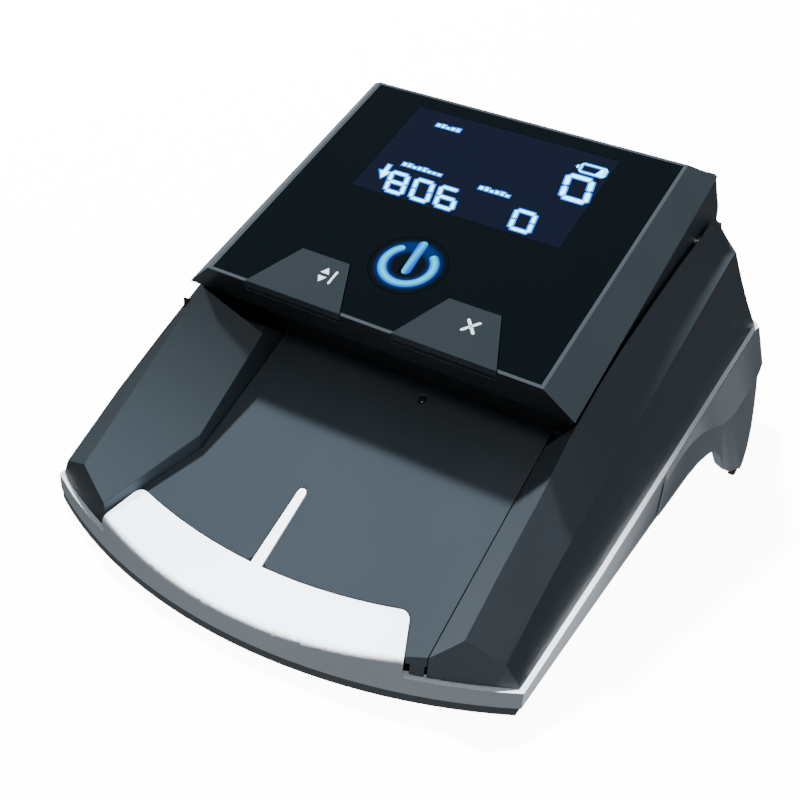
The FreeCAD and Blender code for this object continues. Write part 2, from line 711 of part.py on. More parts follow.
def update_port():
    body = box(35.7, 48.3, 70.0, HALF_DEPTH - 0.4, 8.2, 14.8)
    return body.cut(box(37.0, 47.0, 74.0, 90, 9.2, 13.8))


def bottom_screws():
    screws = []
    for x, y in SCREW_AT:
        head = cyl_z(x, y, 2.6, FOOT_H + 0.05, FOOT_H + 1.2)
        cross = fused([box(x - 1.6, x + 1.6, y - 0.3, y + 0.3, 0, FOOT_H + 0.7),
                       box(x - 0.3, x + 0.3, y - 1.6, y + 1.6, 0, FOOT_H + 0.7)])
        screws.append(fused([head, cyl_z(x, y, 1.3, FOOT_H + 1.2, 10)]).cut(cross))
    return group(screws)


# ---------------------------------------------------------------- head
def key_outline(side, grow, front):
    """Trapezoid key in the panel's own axes; side is -1 left, 1 right."""
    mid = 20.3 * side
    near = 13.0 - 0.434 * front + grow
    far = 6.75 - 0.434 * grow + grow
    return [(mid - near, front), (mid + near, front), (mid + far, 14.4 + grow), (mid - far, 14.4 + grow)]


POWER_AT = (-0.8, 20.2)
POWER_R = 9.6
KEY_GAP = 0.25
HEAD_TOP_WALL = 1.6          # moulding under the panel


HEAD_BOARD_HOLES = ((-39, 34), (39, 34), (-39, 72), (39, 72))


def head_profile():
    """Outside of the head between its side walls, seen from the side."""
    under = [(y, bed_z(y) + BILL_GAP) for y in (4, 30, 48)]
    start = 0.0
    stop = math.radians(49)
    steps = 7
    barrel = [(HINGE_Y + HEAD_BARREL_R * math.cos(start + (stop - start) * i / steps),
               HINGE_Z + HEAD_BARREL_R * math.sin(start + (stop - start) * i / steps)) for i in range(steps + 1)]
    return [(-27.6, 51.0), (-22.2, 42.2)] + under + [(52, 57.6), (58, 58.6)] + barrel + \
        [(53, 80.5), (34.9, 73.6), (-24, 52.6)]


def head_bezel():
    """Bevelled block round the panel; each side bevel is one flat face."""
    half, rim = PANEL_HALF_W + 0.9, 0.9
    front, rear = -rim, PANEL_LEN + rim
    points = [panel_point(-half, front, 0), panel_point(half, front, 0),
              panel_point(half, rear, 0), panel_point(-half, rear, 0)]
    low = V(52.4, -28.5, 50.2)
    normal = (points[2] - points[1]).cross(low - points[1])

    def on_bevel(x, y):
        return V(x, y, low.z - (normal.x * (x - low.x) + normal.y * (y - low.y)) / normal.z)

    lower = [low, on_bevel(51.3, 34.9), on_bevel(50.9, 53.2)]
    points += [V(-p.x, p.y, p.z) for p in lower] + lower
    faces = [(0, 1, 2, 3), (0, 4, 7, 1), (3, 2, 9, 6), (4, 5, 8, 7), (5, 6, 9, 8),
             (0, 3, 6, 5, 4), (1, 7, 8, 9, 2)]
    return polyhedron(points, faces)


def head_housing():
    """Shell of the display head, open below for the upper guide plate."""
    solid = fused([prism_x(head_profile(), -HEAD_HALF_W, HEAD_HALF_W), head_bezel()])
    recess = on_panel(box(-PANEL_HALF_W, PANEL_HALF_W, 0, PANEL_LEN, -PANEL_T, 5))
    t = HEAD_TOP_WALL + PANEL_T
    roof = [panel_point(0, 3.4, -t), panel_point(0, PANEL_LEN + 0.6, -t)]
    hollow = prism_x([(roof[0].y, roof[0].z), (-24.4, 50.8), (-20.0, 44.6), (-20.0, 30), (49.5, 30), (49.5, 59.4),
                      (56.6, 60.2), (61.8, 63.0), (58.6, 70.4), (roof[1].y, roof[1].z)], -HEAD_HALF_W + 2,
                     HEAD_HALF_W - 2)
    deep = on_panel(box(-60, 60, -20, PANEL_LEN + 30, -9.5, 20)).cut(box(-44, 44, -80, 90, 0, 120))
    cuts = [recess, hollow.cut(deep), on_panel(box(-30.4, 30.4, 38.3, 76.7, -6, 0))]
    for side in (-1, 1):
        cuts.append(on_panel(prism_z(key_outline(side, KEY_GAP, 1.6), -6, 5)))
        cuts.append(on_panel(prism_z(key_outline(side, KEY_GAP, -4.0), -2.9, 5)))
    cuts.append(on_panel(cyl_z(*POWER_AT, POWER_R + 0.15, -6, 5)))
    cuts.append(cyl_x(HINGE_Y, HINGE_Z, HINGE_PIN_R + FIT, -70, 70))
    bosses = []
    for x0 in (HEAD_HALF_W - 3.6, -HEAD_HALF_W + 1.6):
        bosses.append(cyl_x(HINGE_Y, HINGE_Z, 4.6, x0, x0 + 2.0))
    for x, v in HEAD_BOARD_HOLES:
        bosses += [on_panel(cyl_z(x, v, 2.6, -5.4, -2.0)), on_panel(cyl_z(x, v, 1.3, -7.4, -5.4))]
    return fused([solid.cut(cuts[0]).cut(cuts[1])] + bosses).cut(cuts[2:])


def display_panel():
    """Black gloss panel with openings for the window, the keys and the power key."""
    g = 0.15
    panel = box(-PANEL_HALF_W + g, PANEL_HALF_W - g, g, PANEL_LEN - g, -PANEL_T, 0)
    cuts = [box(-29.1, 29.1, 39.9, 75.1, -5, 5), cyl_z(*POWER_AT, POWER_R + 0.15, -5, 5)]
    cuts += [prism_z(key_outline(side, KEY_GAP, -4.0), -5, 5) for side in (-1, 1)]
    return on_panel(panel.cut(cuts))


def display_window():
    return on_panel(box(-29.0, 29.0, 40.0, 75.0, -PANEL_T, -0.02))


def display_module():
    return on_panel(box(-30.2, 30.2, 38.5, 76.5, -5.4, -1.25))


def key(side):
    """Rocker-free push key: its front edge reaches the front of the head."""
    lip = prism_z(key_outline(side, 0, -0.8), -1.9, RISE)
    stem = prism_z(key_outline(side, 0, 1.9), -3.4, RISE)
    flange = prism_z(key_outline(side, 1.0, 4.8), -3.6, -2.95)
    return on_panel(fused([lip, stem, flange]))


def power_key():
    cap = cyl_z(*POWER_AT, POWER_R, -3.4, 0)
    flange = cyl_z(*POWER_AT, POWER_R + 1.2, -3.6, -2.95)
    return on_panel(fused([cap, flange]).cut(power_symbol_block(0)))


def power_symbol_block(rise):
    """Open ring with an upright bar, let 0.6 mm into the cap."""
    x, v = POWER_AT
    ring = cyl_z(x, v, 7.5, -0.6, rise).cut(cyl_z(x, v, 5.1, -1, 1))
    ring = ring.cut(box(x - 3.7, x + 3.7, v, v + 12, -1, 1))
    return group([ring, box(x - 1.2, x + 1.2, v - 3.0, v + 8.9, -0.6, rise)])


def power_symbol():
    return on_panel(power_symbol_block(0.05))


def head_board():
    board = box(-43, 43, 5.6, 75, -6.8, -5.4)
    return on_panel(board.cut([cyl_z(x, v, 1.4, -8, -4) for x, v in HEAD_BOARD_HOLES]))


def key_switches():
    spots = [(-20.3, 9.4), (20.3, 9.4), POWER_AT]
    return on_panel(group([fused([box(x - 3, x + 3, v - 3, v + 3, -5.4, -4.9), cyl_z(x, v, 1.7, -4.9, -4.55)])
                           for x, v in spots]))


def upper_guide():
    """Plate under the head that holds the bills down on the bed."""
    plate = strip_along_bed(-48.2, 48.2, -19.6, 47.0, BILL_GAP + 1.4, BILL_GAP)
    sensor = box(*SENSOR_X, *SENSOR_Y, 50, 70)
    return plate.cut([sensor] + roller_windows(4.2, 45, 70))


def idler_shaft(centre):
    return cyl_x(*centre, IDLER_SHAFT_R, -33.0, 43.7)


def idler_brackets():
    plates = []
    for (y, z), station in zip(IDLER_CENTRES, DRIVE_AT):
        for x in (-32.0, 41.6):
            low = bed_z(station) + BILL_GAP + 3.6
            plate = box(x, x + 1.5, y - 4.5, y + 4.5, low - 1.0, z + 3.2)
            plate = plate.cut(strip_along_bed(-60, 60, -20, 49, BILL_GAP + 1.4, -10))
            plates.append(plate.cut(cyl_x(y, z, IDLER_SHAFT_R + FIT, x - 2, x + 4)))
    return group(plates)


# ---------------------------------------------------------------- build
def main():
    right_leg = leg_fairing()
    save("base_housing", base_housing())
    save("right_leg", right_leg)
    save("left_leg", mirrored(right_leg))
    save("bottom_plate", bottom_plate())
    save("battery_cover", battery_cover())
    save("rubber_feet", rubber_feet())
    save("bottom_screws", bottom_screws())
    save("right_cover", right_cover())
    save("left_cover", left_cover())
    save("rear_cover", rear_cover())
    save("hinge_pins", hinge_pins())
    save("feed_tray", feed_tray())
    save("entry_lens", entry_lens())
    save("lower_guide", lower_guide())
    save("lower_sensor_bar", sensor_bar(-6.8, -0.95))
    save("lower_sensor_window", sensor_bar(-0.9, -0.05))
    save("magnetic_head", magnetic_head())
    save("side_frame_left", side_frame(FRAME_X[0]))
    save("side_frame_right", side_frame(FRAME_X[1]))
    save("shaft_bushes", shaft_bushes())
    for name, drive, idler in zip(("front", "rear"), DRIVE_CENTRES, IDLER_CENTRES):
        save(name + "_drive_shaft", drive_shaft(drive))
        save(name + "_drive_rollers", rollers(drive, DRIVE_ROLLER_R, SHAFT_R))
        save(name + "_drive_pulley", pulley(drive, PULLEY_R, SHAFT_R))
        save(name + "_idler_shaft", idler_shaft(idler))
        save(name + "_idler_rollers", rollers(idler, IDLER_R, IDLER_SHAFT_R))
    save("motor_pulley", pulley(MOTOR_CENTRE, MOTOR_PULLEY_R, 1.5))
    save("motor_body", motor_body())
    save("motor_shaft", motor_shaft())
    save("drive_belt", drive_belt())
    save("encoder_disc", encoder_disc())
    save("encoder_sensor", encoder_sensor())
    save("main_board", main_board())
    save("board_posts", board_posts())
    save("main_chips", main_chips())
    save("buzzer", buzzer())
    save("battery_pack", battery_pack())
    save("dc_inlet", dc_inlet())
    save("dc_pin", dc_pin())
    save("update_port", update_port())
    save("head_housing", head_housing())
    save("display_panel", display_panel())
    save("display_window", display_window())
    save("display_module", display_module())
    save("left_key", key(-1))
    save("right_key", key(1))
    save("power_key", power_key())
    save("power_symbol", power_symbol())
    save("head_board", head_board())
    save("key_switches", key_switches())
    save("upper_guide", upper_guide())
    save("upper_sensor_bar", sensor_bar(BILL_GAP + 1.0, BILL_GAP + 6.0))
    save("upper_sensor_window", sensor_bar(BILL_GAP + 0.05, BILL_GAP + 0.95))
    save("idler_brackets", idler_brackets())


main()
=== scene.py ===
"""Looks for the counterfeit bill detector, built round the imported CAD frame.

Positions on the object are written in millimetres in the row frame (+X right, +Y rear, +Z up)
and scaled to metres when a mesh is made. Textures, lamps and stages are in metres.
"""
import math

import bmesh
import bpy
from mathutils import Matrix, Vector


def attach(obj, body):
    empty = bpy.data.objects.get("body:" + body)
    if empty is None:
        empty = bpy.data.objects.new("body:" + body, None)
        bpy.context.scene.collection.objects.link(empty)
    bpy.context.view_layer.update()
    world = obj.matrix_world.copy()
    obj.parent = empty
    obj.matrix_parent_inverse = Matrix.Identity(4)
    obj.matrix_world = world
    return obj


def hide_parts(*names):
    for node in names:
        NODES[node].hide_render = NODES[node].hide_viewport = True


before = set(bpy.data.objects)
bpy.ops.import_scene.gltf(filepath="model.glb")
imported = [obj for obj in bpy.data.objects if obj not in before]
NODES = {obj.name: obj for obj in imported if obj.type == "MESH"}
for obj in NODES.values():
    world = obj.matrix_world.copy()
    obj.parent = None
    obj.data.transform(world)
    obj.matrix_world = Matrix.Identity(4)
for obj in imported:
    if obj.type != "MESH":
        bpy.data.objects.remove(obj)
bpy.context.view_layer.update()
MM = 0.001


# ---------------------------------------------------------------- camera
CAMERA_AT = (121.2, -239.0, 194.75)
CAMERA_TURN = (27.97, 33.15, -4.94)  # azimuth, elevation and roll in degrees
FOCAL_LENGTH, SENSOR_WIDTH = 54.73, 36.0


def photo_camera():
    """Camera that looks down at the object from its front right, a little rolled."""
    azimuth, elevation, roll = (math.radians(a) for a in CAMERA_TURN)
    forward = Vector((-math.sin(azimuth) * math.cos(elevation),
                      math.cos(azimuth) * math.cos(elevation), -math.sin(elevation)))
    right = forward.cross(Vector((0, 0, 1))).normalized()
    down = forward.cross(right).normalized()
    image_right = math.cos(roll) * right + math.sin(roll) * down
    image_up = math.sin(roll) * right - math.cos(roll) * down
    data = bpy.data.cameras.new("photo_camera")
    data.lens = FOCAL_LENGTH
    data.sensor_width = SENSOR_WIDTH
    data.clip_start = 0.01
    camera = bpy.data.objects.new("photo_camera", data)
    bpy.context.scene.collection.objects.link(camera)
    rotation = Matrix((image_right, image_up, -forward)).transposed().to_4x4()
    camera.matrix_world = Matrix.Translation(Vector(CAMERA_AT) * MM) @ rotation
    bpy.context.scene.camera = camera


photo_camera()


# ---------------------------------------------------------------- materials
MOTTLE_SCALE = 45.0
RELIEF_DEPTH = 0.00004


def node(tree, kind, **inputs):
    """New shader node with some inputs set; an underscore in a name stands for a space."""
    made = tree.nodes.new(kind)
    for name, value in inputs.items():
        made.inputs[name.replace("_", " ")].default_value = value
    return made


def coordinates(tree):
    """The texture coordinate node that surface() put into a material."""
    return next(n for n in tree.nodes if n.type == "TEX_COORD")


def surface(name, color, rough, metallic=0.0, grain=2200.0, bump=0.12, mottle=0.08,
            rough_spread=0.05, specular=0.5):
    """Moulded or painted surface: mottled colour, uneven roughness and a fine grain bump."""
    material = bpy.data.materials.new(name)
    material.use_nodes = True
    tree = material.node_tree
    shader = tree.nodes["Principled BSDF"]
    shader.inputs["Metallic"].default_value = metallic
    shader.inputs["Specular IOR Level"].default_value = specular
    place = tree.nodes.new("ShaderNodeTexCoord")
    cloud = node(tree, "ShaderNodeTexNoise", Scale=MOTTLE_SCALE, Detail=3.0)
    tree.links.new(place.outputs["Object"], cloud.inputs["Vector"])
    tint = tree.nodes.new("ShaderNodeMix")
    tint.data_type = "RGBA"
    tint.inputs["A"].default_value = [c * (1 - mottle) for c in color] + [1]
    tint.inputs["B"].default_value = [c * (1 + mottle) for c in color] + [1]
    tree.links.new(cloud.outputs["Fac"], tint.inputs["Factor"])
    tree.links.new(tint.outputs["Result"], shader.inputs["Base Color"])
    uneven = node(tree, "ShaderNodeMapRange",
                  To_Min=rough - rough_spread, To_Max=rough + rough_spread)
    tree.links.new(cloud.outputs["Fac"], uneven.inputs["Value"])
    tree.links.new(uneven.outputs["Result"], shader.inputs["Roughness"])
    fine = node(tree, "ShaderNodeTexNoise", Scale=grain, Detail=2.0)
    tree.links.new(place.outputs["Object"], fine.inputs["Vector"])
    relief = node(tree, "ShaderNodeBump", Strength=bump, Distance=RELIEF_DEPTH)
    tree.links.new(fine.outputs["Fac"], relief.inputs["Height"])
    tree.links.new(relief.outputs["Normal"], shader.inputs["Normal"])
    return material


def shade(material, kind, axis, span, factors):
    """Paints light and shade into the colour: multiplies it by a smooth ramp along an axis.

    kind is "Object" for a position in metres or "Normal" for the way the surface faces. The
    factor runs from factors[0] at span[0] to factors[1] at span[1]."""
    tree = material.node_tree
    shader = tree.nodes["Principled BSDF"]
    colour = shader.inputs["Base Color"].links[0].from_socket
    split = tree.nodes.new("ShaderNodeSeparateXYZ")
    tree.links.new(coordinates(tree).outputs[kind], split.inputs["Vector"])
    ramp = node(tree, "ShaderNodeMapRange", From_Min=span[0], From_Max=span[1],
                To_Min=factors[0], To_Max=factors[1])
    ramp.interpolation_type = "SMOOTHSTEP"
    tree.links.new(split.outputs[axis], ramp.inputs["Value"])
    scaled = tree.nodes.new("ShaderNodeVectorMath")
    scaled.operation = "SCALE"
    tree.links.new(colour, scaled.inputs[0])
    tree.links.new(ramp.outputs["Result"], scaled.inputs["Scale"])
    tree.links.new(scaled.outputs["Vector"], shader.inputs["Base Color"])
    return material


CHARCOAL = surface("charcoal_satin", (0.027, 0.033, 0.039), 0.42, specular=0.35)
# Left cover charcoal with painted light and shade: painted light towards the front, painted shade
# towards the rear by the head, and painted shade on faces that turn out to the left or to the
# front.
LEFT_CHARCOAL_PAINTED_LIGHT_SHADE = shade(surface("left_charcoal_painted_light_shade", (0.027, 0.035, 0.042), 0.45, specular=0.1),
                      "Object", "Y", (-0.080, -0.018), (1.75, 0.40))
shade(LEFT_CHARCOAL_PAINTED_LIGHT_SHADE, "Normal", "X", (-0.60, -0.15), (0.30, 1.0))
shade(LEFT_CHARCOAL_PAINTED_LIGHT_SHADE, "Normal", "Y", (-0.75, -0.45), (0.45, 1.0))
# Head charcoal with painted shade: faces that turn to the front are painted darker.
HEAD_CHARCOAL_PAINTED_SHADE = shade(surface("head_charcoal_painted_shade", (0.027, 0.033, 0.039), 0.40, specular=0.3),
                      "Normal", "Y", (-0.75, -0.30), (0.16, 1.1))
# Tray with painted shade: darker towards the rear, where the head overhangs it.
TRAY_PAINTED_SHADE = shade(surface("tray_satin_painted_shade", (0.029, 0.037, 0.045), 0.42, specular=0.3),
             "Object", "Y", (-0.046, -0.018), (1.0, 0.35))
# Silver paint with painted light and shade: faces that turn upward are painted lighter, upright
# faces painted darker.
SILVER_PAINTED_LIGHT = shade(surface("silver_paint_painted_light", (0.55, 0.58, 0.62), 0.42,
                       metallic=0.2, grain=4000.0, bump=0.06),
               "Normal", "Z", (0.35, 0.85), (0.45, 1.1))
UNDERSIDE = surface("underside_plastic", (0.020, 0.022, 0.025), 0.5)
INNER = surface("inner_plastic", (0.012, 0.013, 0.015), 0.5)
GLOSS = surface("panel_gloss", (0.0012, 0.0024, 0.0031), 0.07,
                bump=0.0, rough_spread=0.015, specular=0.3)
WINDOW = surface("window_gloss", (0.0024, 0.0035, 0.0088), 0.07,
                 bump=0.0, rough_spread=0.015, specular=0.3)
KEY = surface("key_grey", (0.0135, 0.0175, 0.021), 0.44, specular=0.3)
RUBBER = surface("rubber", (0.018, 0.018, 0.019), 0.72, grain=1400.0, bump=0.3)
WHITE_PLASTIC = surface("roller_plastic", (0.62, 0.61, 0.58), 0.42)
STEEL = surface("steel", (0.58, 0.59, 0.61), 0.30, metallic=1.0, grain=900.0, bump=0.05)
BOARD = surface("circuit_board", (0.02, 0.12, 0.07), 0.4)
WRAP = surface("battery_wrap", (0.022, 0.028, 0.036), 0.25)
LENS = surface("smoked_lens", (0.010, 0.011, 0.012), 0.1, bump=0.0)
PRINT = surface("key_print", (0.50, 0.53, 0.55), 0.5, grain=5000.0, bump=0.05, mottle=0.05)


def off_middle(tree, source, middle):
    """Socket with how far a value lies from middle, on either side."""
    away = tree.nodes.new("ShaderNodeMath")
    away.operation = "SUBTRACT"
    away.inputs[1].default_value = middle
    tree.links.new(source, away.inputs[0])
    distance = tree.nodes.new("ShaderNodeMath")
    distance.operation = "ABSOLUTE"
    tree.links.new(away.outputs[0], distance.inputs[0])
    return distance.outputs[0]


def emit(tree, factor, first, last, strength):
    """Light of a surface that runs from the first colour to the last with a factor."""
    shader = tree.nodes["Principled BSDF"]
    blend = tree.nodes.new("ShaderNodeMix")
    blend.data_type = "RGBA"
    blend.inputs["A"].default_value = (*first, 1)
    blend.inputs["B"].default_value = (*last, 1)
    tree.links.new(factor, blend.inputs["Factor"])
    tree.links.new(blend.outputs["Result"], shader.inputs["Emission Color"])
    shader.inputs["Emission Strength"].default_value = strength


def glowing(name, core, edge, strength, kind, centre, radius, reach):
    """Lit symbol: the glow runs from core to edge with the distance from the stroke's middle.

    kind is "ring", of that radius, or "bar", upright and with radius 0. The edge colour is met
    at reach from the middle. Lengths are in metres in the piece's own axes."""
    material = surface(name, (0.0, 0.01, 0.05), 0.5, bump=0.0, mottle=0.0, specular=0.1)
    tree = material.node_tree
    shift = tree.nodes.new("ShaderNodeMapping")
    shift.inputs["Location"].default_value = (-centre[0], -centre[1], 0)
    shift.inputs["Scale"].default_value = (1, 1, 0)
    tree.links.new(coordinates(tree).outputs["Object"], shift.inputs["Vector"])
    if kind == "bar":
        split = tree.nodes.new("ShaderNodeSeparateXYZ")
        tree.links.new(shift.outputs["Vector"], split.inputs["Vector"])
        source = split.outputs["X"]
    else:
        span = tree.nodes.new("ShaderNodeVectorMath")
        span.operation = "LENGTH"
        tree.links.new(shift.outputs["Vector"], span.inputs[0])
        source = span.outputs["Value"]
    spread = node(tree, "ShaderNodeMapRange", From_Max=reach)
    tree.links.new(off_middle(tree, source, radius), spread.inputs["Value"])
    emit(tree, spread.outputs["Result"], core, edge, strength)
    return material


def lit(name, color, strength):
    """Evenly lit mark: its mottled colour is also the colour of its light."""
    material = surface(name, color, 0.4, bump=0.0, mottle=0.04)
    shader = material.node_tree.nodes["Principled BSDF"]
    tint = next(n for n in material.node_tree.nodes if n.type == "MIX")
    material.node_tree.links.new(tint.outputs["Result"], shader.inputs["Emission Color"])
    shader.inputs["Emission Strength"].default_value = strength
    return material


GLYPH = lit("display_glyph", (0.20, 0.82, 1.0), 1.5)
GLYPH_HALO = lit("display_halo", (0.0, 0.09, 0.48), 0.6)


# ---------------------------------------------------------------- CAD nodes
NODE_LOOK = {
    CHARCOAL: "right_cover rear_cover",
    LEFT_CHARCOAL_PAINTED_LIGHT_SHADE: "left_cover",
    HEAD_CHARCOAL_PAINTED_SHADE: "head_housing",
    TRAY_PAINTED_SHADE: "feed_tray",
    SILVER_PAINTED_LIGHT: "base_housing right_leg left_leg",
    UNDERSIDE: "bottom_plate battery_cover",
    INNER: "lower_guide upper_guide lower_sensor_bar upper_sensor_bar idler_brackets "
           "board_posts shaft_bushes encoder_sensor dc_inlet main_chips buzzer display_module",
    GLOSS: "display_panel power_key",
    WINDOW: "display_window",
    KEY: "left_key right_key",
    RUBBER: "rubber_feet front_drive_rollers rear_drive_rollers drive_belt",
    WHITE_PLASTIC: "front_idler_rollers rear_idler_rollers front_drive_pulley "
                   "rear_drive_pulley motor_pulley encoder_disc",
    STEEL: "bottom_screws hinge_pins magnetic_head side_frame_left side_frame_right "
           "front_drive_shaft rear_drive_shaft front_idler_shaft rear_idler_shaft motor_shaft "
           "motor_body dc_pin update_port",
    BOARD: "main_board head_board key_switches",
    WRAP: "battery_pack",
    LENS: "entry_lens lower_sensor_window upper_sensor_window power_symbol",
}
OUTER_SHELLS = "right_cover left_cover rear_cover head_housing base_housing feed_tray"
SHELL_ROUNDING = 0.4


def paint(name, material):
    """Makes material the only one on a CAD node."""
    mesh = NODES[name].data
    mesh.materials.clear()
    mesh.materials.append(material)


def soften(obj, width):
    """Rounds the moulded edges of a CAD node without changing its mesh."""
    weld = obj.modifiers.new("weld", "WELD")
    weld.merge_threshold = 0.000002
    flat = obj.modifiers.new("flat_faces", "DECIMATE")
    flat.decimate_type = "DISSOLVE"
    flat.angle_limit = math.radians(1.2)
    bevel = obj.modifiers.new("rounded_edges", "BEVEL")
    bevel.width = width * MM
    bevel.segments = 3
    bevel.limit_method = "ANGLE"
    bevel.angle_limit = math.radians(28)
    bevel.use_clamp_overlap = True
    bevel.harden_normals = False
    normals = obj.modifiers.new("normals", "WEIGHTED_NORMAL")
    normals.keep_sharp = True


for look, dressed in NODE_LOOK.items():
    for dressed_name in dressed.split():
        paint(dressed_name, look)
for shell in OUTER_SHELLS.split():
    soften(NODES[shell], SHELL_ROUNDING)


# ---------------------------------------------------------------- own pieces on the panel
PANEL_MIDDLE, PANEL_TILT = (0, -30.1, 57.5), 19.06
PANEL = (Matrix.Translation(Vector(PANEL_MIDDLE) * MM)
         @ Matrix.Rotation(math.radians(PANEL_TILT), 4, "X"))


def object_of(name, shape, material):
    """Scene object made from a finished bmesh, with one material."""
    mesh = bpy.data.meshes.new(name)
    shape.to_mesh(mesh)
    shape.free()
    mesh.materials.append(material)
    made = bpy.data.objects.new(name, mesh)
    bpy.context.scene.collection.objects.link(made)
    return made


def panel_piece(name, outlines, low, high, material, body):
    """Flat piece on the panel: (x, up the panel) outlines in mm between two heights."""
    shape = bmesh.new()
    for outline in outlines:
        base = shape.faces.new([shape.verts.new((x * MM, v * MM, low * MM)) for x, v in outline])
        if base.normal.z > 0:
            base.normal_flip()
        grown = bmesh.ops.extrude_face_region(shape, geom=[base])
        lifted = [g for g in grown["geom"] if isinstance(g, bmesh.types.BMVert)]
        bmesh.ops.translate(shape, verts=lifted, vec=(0, 0, (high - low) * MM))
    bmesh.ops.recalc_face_normals(shape, faces=shape.faces)
    made = object_of(name, shape, material)
    made.matrix_world = PANEL
    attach(made, body)
    return made


def box(left, low, right, high):
    return [(left, low), (right, low), (right, high), (left, high)]


def stroke(a, b, width, grow=0.0):
    """Pointed bar from a to b, as the segments of a digital display have."""
    ax, ay = a
    bx, by = b
    length = math.hypot(bx - ax, by - ay)
    ux, uy = (bx - ax) / length, (by - ay) / length
    half = width / 2 + grow
    tip = width * 0.42
    a0 = (ax - ux * grow, ay - uy * grow)
    b0 = (bx + ux * grow, by + uy * grow)
    return [a0, (a0[0] + ux * tip - uy * half, a0[1] + uy * tip + ux * half),
            (b0[0] - ux * tip - uy * half, b0[1] - uy * tip + ux * half), b0,
            (b0[0] - ux * tip + uy * half, b0[1] - uy * tip - ux * half),
            (a0[0] + ux * tip + uy * half, a0[1] + uy * tip - ux * half)]


SEGMENTS = {"a": ((0, 1), (1, 1)), "b": ((1, 1), (1, 0.5)), "c": ((1, 0.5), (1, 0)),
            "d": ((0, 0), (1, 0)), "e": ((0, 0.5), (0, 0)), "f": ((0, 1), (0, 0.5)),
            "g": ((0, 0.5), (1, 0.5))}
DIGITS = {"0": "abcdef", "6": "acdefg", "8": "abcdefg"}


def digit(symbol, corner, size, lean, width, grow=0.0):
    """Seven-segment digit; corner is its lower left, size its stroke-to-stroke box."""
    bars = []
    gap = width * 0.22
    for name in DIGITS[symbol]:
        ends = []
        for fx, fy in SEGMENTS[name]:
            ends.append((corner[0] + fx * size[0] + lean * fy, corner[1] + fy * size[1]))
        (ax, ay), (bx, by) = ends
        length = math.hypot(bx - ax, by - ay)
        ux, uy = (bx - ax) / length * gap, (by - ay) / length * gap
        bars.append(stroke((ax + ux, ay + uy), (bx - ux, by - uy), width, grow))
    return bars


def small_caption(left, middle, count, grow=0.0):
    """A row of small generic marks where the display carries a caption."""
    pitch, wide, short, tall = 1.45, 0.95, 0.62, 0.95
    dot_low, dot_high = 0.25, 0.5
    marks = []
    for i in range(count):
        x = left + pitch * i
        foot = middle - short
        height = tall if i in (0, 3) else short
        marks.append(box(x - grow, foot - grow, x + wide + grow, foot + height + grow))
        if i in (1, 4):
            marks.append(box(x - grow, middle + dot_low, x + wide + grow,
                             middle + dot_high + grow))
    return marks


def battery_icon(grow=0.0):
    """Outline of a battery with its pole at the left and a filled part at the right."""
    left, right, low, high = 21.2, 27.8, 67.5, 70.6
    lean, pole_inset = 0.2, 0.9
    line = 0.34 + 2 * grow
    corners = [(left, low), (right, low), (right - lean, high), (left - lean, high)]
    bars = [stroke(a, b, line) for a, b in zip(corners, corners[1:] + corners[:1])]
    bars.append(stroke((left - 0.9, low + pole_inset), (left - 1.0, high - pole_inset),
                       line * 1.5))
    bars.append([(25.5 - grow, low + 0.2), (27.4 + grow, low + 0.2),
                 (27.2 + grow, high - 0.3), (26.3, high - 0.3)])
    return bars


def down_arrow(g=0.0):
    """Arrow left of the digits; g is how far the halo grows past it."""
    return [[(-24.3 - g, 50.4 + g), (-23.5 + g, 50.4 + g), (-23.3 + g, 47.9 + g),
             (-22.3 + g * 2, 47.9 + g), (-23.4, 45.2 - g * 1.6), (-25.0 - g * 2, 47.6 + g),
             (-24.2 - g, 47.8 + g)]]


def display_marks(grow=0.0):
    """Everything lit on the display."""
    thick, thin = 1.2, 0.88
    marks = digit("0", (21.4, 57.0), (6.3, 8.3), -1.7, thick, grow)
    marks += digit("0", (15.0, 41.8), (4.9, 6.5), -1.1, thin, grow)
    for symbol, x in (("8", -20.0), ("0", -12.7), ("6", -5.6)):
        marks += digit(symbol, (x, 41.6), (4.6, 6.9), -1.8, thin, grow)
    marks += small_caption(-20.8, 70.0, 5, grow)
    marks += small_caption(-20.9, 52.4, 8, grow)
    marks += small_caption(1.5, 52.1, 6, grow)
    return marks + battery_icon(grow) + down_arrow(grow)


def build_display():
    """Display marks at the face of the window, with a wider and dimmer copy just below."""
    spread = 0.42
    panel_piece("display_marks", display_marks(), -0.012, 0.012, GLYPH, "head")
    panel_piece("display_marks_halo", display_marks(spread), -0.019, -0.013, GLYPH_HALO,
                "head")


POWER_CENTRE = (-0.8, 20.2)
RING_RADIUS = 6.3
RING_OPENING = 36  # degrees on either side of the top
STROKE_HALF, STROKE_RISE, STROKE_FLOOR = 1.2, 0.35, -0.12
CAP_LIGHT_FROM, CAP_LIGHT_TO = 0.8, 2.6


def arc_point(angle):
    return (POWER_CENTRE[0] + RING_RADIUS * math.sin(angle),
            POWER_CENTRE[1] + RING_RADIUS * math.cos(angle))


